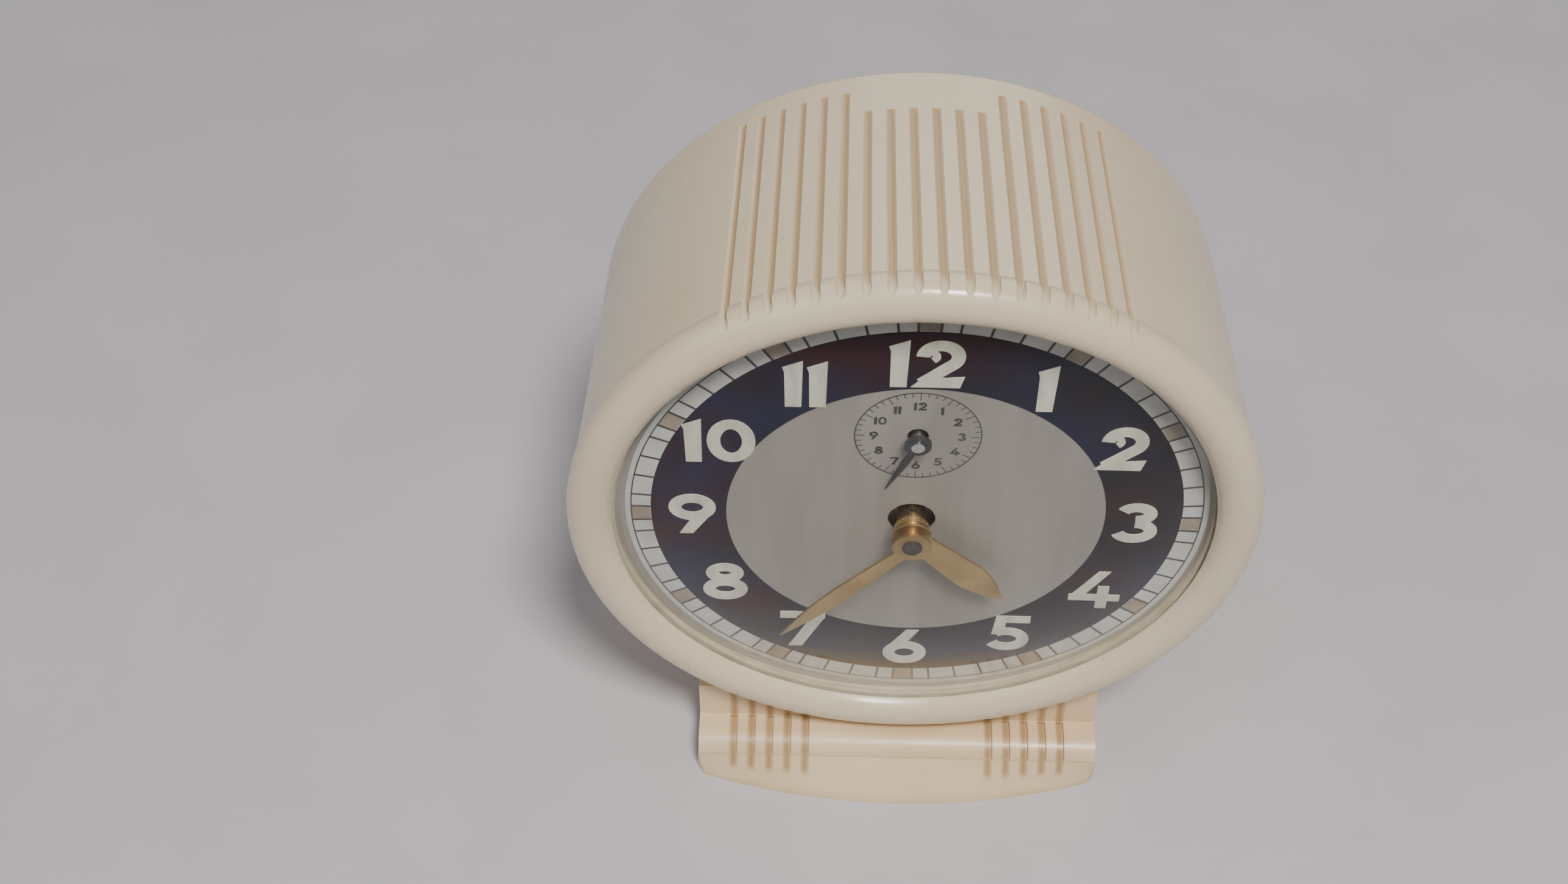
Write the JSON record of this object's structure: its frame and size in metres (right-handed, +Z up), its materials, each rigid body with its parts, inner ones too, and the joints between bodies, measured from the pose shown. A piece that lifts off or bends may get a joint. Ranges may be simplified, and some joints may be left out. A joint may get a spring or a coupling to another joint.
{
  "type": "wind-up alarm clock",
  "caption": "Round wind-up alarm clock: ribbed moulded case on a foot, domed glass, lance hands, geared movement, rear keys and knobs.",
  "frame": {"origin": "on the resting surface, under the middle of the overall box", "axes": "+Z up, dial and front of the clock towards -Y, +X to the right of someone facing the dial"},
  "size_m": [0.1064, 0.071, 0.1152],
  "materials": {
    "ivory_case": "glossy ivory moulded plastic, faintly translucent",
    "ivory_foot": "glossy ivory moulded plastic, a shade yellower than the case",
    "clear_glass": "clear domed glass",
    "spacer_card": "dull buff ring",
    "dial_paint": "printed dial, cream centre and near-black hour ring",
    "brass": "machined clock brass, lightly grained",
    "steel": "bright turned steel",
    "blued_steel": "blued spring steel",
    "gilt_hand": "dull gilt, slightly aged",
    "black_lacquer": "black lacquer",
    "plated_cover": "nickel-plated pressed steel, satin",
    "zinc_screw": "plated cheese-head screws",
    "knob_plastic": "black moulded knobs"
  },
  "bodies": {
    "clock_case": {"case_shell": "ivory_case", "foot": "ivory_foot", "foot_screws": "zinc_screw", "foot_nuts": "zinc_screw", "front_glass": "clear_glass", "dial_spacer_ring": "spacer_card", "dial": "dial_paint", "movement_front_plate": "brass", "movement_rear_plate": "brass", "movement_pillars": "steel", "pillar_nuts": "steel", "movement_screws": "zinc_screw", "bell_back_cover": "plated_cover", "back_cover_screws": "zinc_screw", "time_mainspring": "blued_steel", "alarm_mainspring": "blued_steel", "hairspring": "blued_steel", "minute_wheel_post": "steel", "click_pins": "steel", "regulator_stud": "steel"},
    "hand_work": {"minute_hand": "gilt_hand", "minute_hand_cap": "black_lacquer", "cannon_pinion": "brass", "centre_arbor": "steel", "hand_set_knob": "knob_plastic"},
    "hour_work": {"hour_wheel": "brass", "hour_hand": "gilt_hand"},
    "minute_wheel": {"minute_wheel": "brass"},
    "alarm_wheel": {"alarm_wheel": "brass"},
    "alarm_setting": {"alarm_arbor": "steel", "alarm_hand": "black_lacquer", "alarm_set_knob": "knob_plastic"},
    "time_winding": {"time_winding_arbor": "steel", "time_ratchet": "steel", "time_winding_key": "brass"},
    "time_great_wheel": {"time_great_wheel": "brass"},
    "time_click": {"time_click": "steel"},
    "centre_wheel": {"centre_wheel": "brass"},
    "third_wheel": {"third_wheel": "brass"},
    "fourth_wheel": {"fourth_wheel": "brass"},
    "escape_wheel": {"escape_wheel": "brass"},
    "pallet_lever": {"pallet_lever": "steel"},
    "balance": {"balance_wheel": "brass", "balance_staff": "steel"},
    "alarm_winding": {"alarm_winding_arbor": "steel", "alarm_ratchet": "steel", "alarm_winding_key": "brass"},
    "alarm_great_wheel": {"alarm_great_wheel": "brass"},
    "alarm_click": {"alarm_click": "steel"},
    "alarm_star_wheel": {"alarm_star_wheel": "brass"},
    "hammer": {"hammer_arbor": "steel", "hammer_verge": "steel", "hammer": "steel"},
    "regulator": {"regulator_lever": "brass"},
    "alarm_stop": {"alarm_stop_slide": "knob_plastic"}
  },
  "joints": [
    {"name": "minute_turn", "type": "hinge", "parent": "clock_case", "child": "hand_work", "pos_m": [0, -0.0065, 0.062], "axis": [0, 1, 0], "continuous": true},
    {"name": "hour_turn", "type": "hinge", "parent": "clock_case", "child": "hour_work", "pos_m": [0, -0.0065, 0.062], "axis": [0, 1, 0], "continuous": true},
    {"name": "minute_wheel_turn", "type": "hinge", "parent": "clock_case", "child": "minute_wheel", "pos_m": [0.01045, -0.0065, 0.05598], "axis": [0, 1, 0], "continuous": true},
    {"name": "alarm_wheel_turn", "type": "hinge", "parent": "clock_case", "child": "alarm_wheel", "pos_m": [0, -0.0065, 0.0813], "axis": [0, 1, 0], "continuous": true},
    {"name": "alarm_setting_turn", "type": "hinge", "parent": "clock_case", "child": "alarm_setting", "pos_m": [0, -0.0065, 0.0813], "axis": [0, 1, 0], "continuous": true},
    {"name": "fourth_wheel_turn", "type": "hinge", "parent": "clock_case", "child": "fourth_wheel", "pos_m": [-0.0151, -0.0065, 0.08115], "axis": [0, 1, 0], "continuous": true},
    {"name": "centre_wheel_turn", "type": "hinge", "parent": "clock_case", "child": "centre_wheel", "pos_m": [0, -0.0065, 0.062], "axis": [0, 1, 0], "continuous": true},
    {"name": "third_wheel_turn", "type": "hinge", "parent": "clock_case", "child": "third_wheel", "pos_m": [-0.0096, -0.0065, 0.0716], "axis": [0, 1, 0], "continuous": true},
    {"name": "time_great_turn", "type": "hinge", "parent": "clock_case", "child": "time_great_wheel", "pos_m": [-0.01776, -0.0065, 0.05554], "axis": [0, 1, 0], "continuous": true},
    {"name": "escape_turn", "type": "hinge", "parent": "clock_case", "child": "escape_wheel", "pos_m": [-0.0081, -0.0065, 0.08815], "axis": [0, 1, 0], "continuous": true},
    {"name": "time_winding_turn", "type": "hinge", "parent": "clock_case", "child": "time_winding", "pos_m": [-0.01776, -0.0065, 0.05554], "axis": [0, 1, 0], "continuous": true},
    {"name": "alarm_winding_turn", "type": "hinge", "parent": "clock_case", "child": "alarm_winding", "pos_m": [0.0195, -0.0065, 0.051], "axis": [0, 1, 0], "continuous": true},
    {"name": "alarm_great_turn", "type": "hinge", "parent": "clock_case", "child": "alarm_great_wheel", "pos_m": [0.0195, -0.0065, 0.051], "axis": [0, 1, 0], "continuous": true},
    {"name": "alarm_star_turn", "type": "hinge", "parent": "clock_case", "child": "alarm_star_wheel", "pos_m": [0.0242, -0.0065, 0.0686], "axis": [0, 1, 0], "continuous": true},
    {"name": "time_click_lift", "type": "hinge", "parent": "clock_case", "child": "time_click", "pos_m": [-0.0281, 0.0095, 0.05178], "axis": [0, 1, 0], "range_deg": [0, 12], "stiffness_Nm_per_rad": 0.0005},
    {"name": "alarm_click_lift", "type": "hinge", "parent": "clock_case", "child": "alarm_click", "pos_m": [0.02947, 0.0095, 0.04635], "axis": [0, 1, 0], "range_deg": [0, 12], "stiffness_Nm_per_rad": 0.0005},
    {"name": "balance_swing", "type": "hinge", "parent": "clock_case", "child": "balance", "pos_m": [0.0132, -0.0065, 0.0894], "axis": [0, 1, 0], "range_deg": [-135, 135], "stiffness_Nm_per_rad": 0.000022},
    {"name": "pallet_rock", "type": "hinge", "parent": "clock_case", "child": "pallet_lever", "pos_m": [0.0014, -0.0065, 0.0873], "axis": [0, 1, 0], "range_deg": [-4, 4]},
    {"name": "hammer_strike", "type": "hinge", "parent": "clock_case", "child": "hammer", "pos_m": [0.0325, 0.0095, 0.065], "axis": [0, 1, 0], "range_deg": [-4, 9], "stiffness_Nm_per_rad": 0.01},
    {"name": "regulator_shift", "type": "hinge", "parent": "clock_case", "child": "regulator", "pos_m": [0.0132, 0.0085, 0.0894], "axis": [0, 1, 0], "range_deg": [-20, 20]},
    {"name": "alarm_stop_slide", "type": "slide", "parent": "clock_case", "child": "alarm_stop", "axis": [0, 0, 1], "range_m": [0, 0.006]}
  ],
  "couplings": [
    {"joint": "hour_turn", "follows": "minute_turn", "ratio": 0.083333},
    {"joint": "minute_wheel_turn", "follows": "minute_turn", "ratio": -0.33333},
    {"joint": "alarm_wheel_turn", "follows": "minute_turn", "ratio": -0.083333},
    {"joint": "centre_wheel_turn", "follows": "fourth_wheel_turn", "ratio": 0.016667},
    {"joint": "third_wheel_turn", "follows": "fourth_wheel_turn", "ratio": -0.125},
    {"joint": "time_great_turn", "follows": "fourth_wheel_turn", "ratio": -0.0027778},
    {"joint": "escape_turn", "follows": "fourth_wheel_turn", "ratio": -10},
    {"joint": "alarm_star_turn", "follows": "alarm_great_turn", "ratio": -8},
    {"joint": "pallet_rock", "follows": "balance_swing", "ratio": -0.02963}
  ]
}
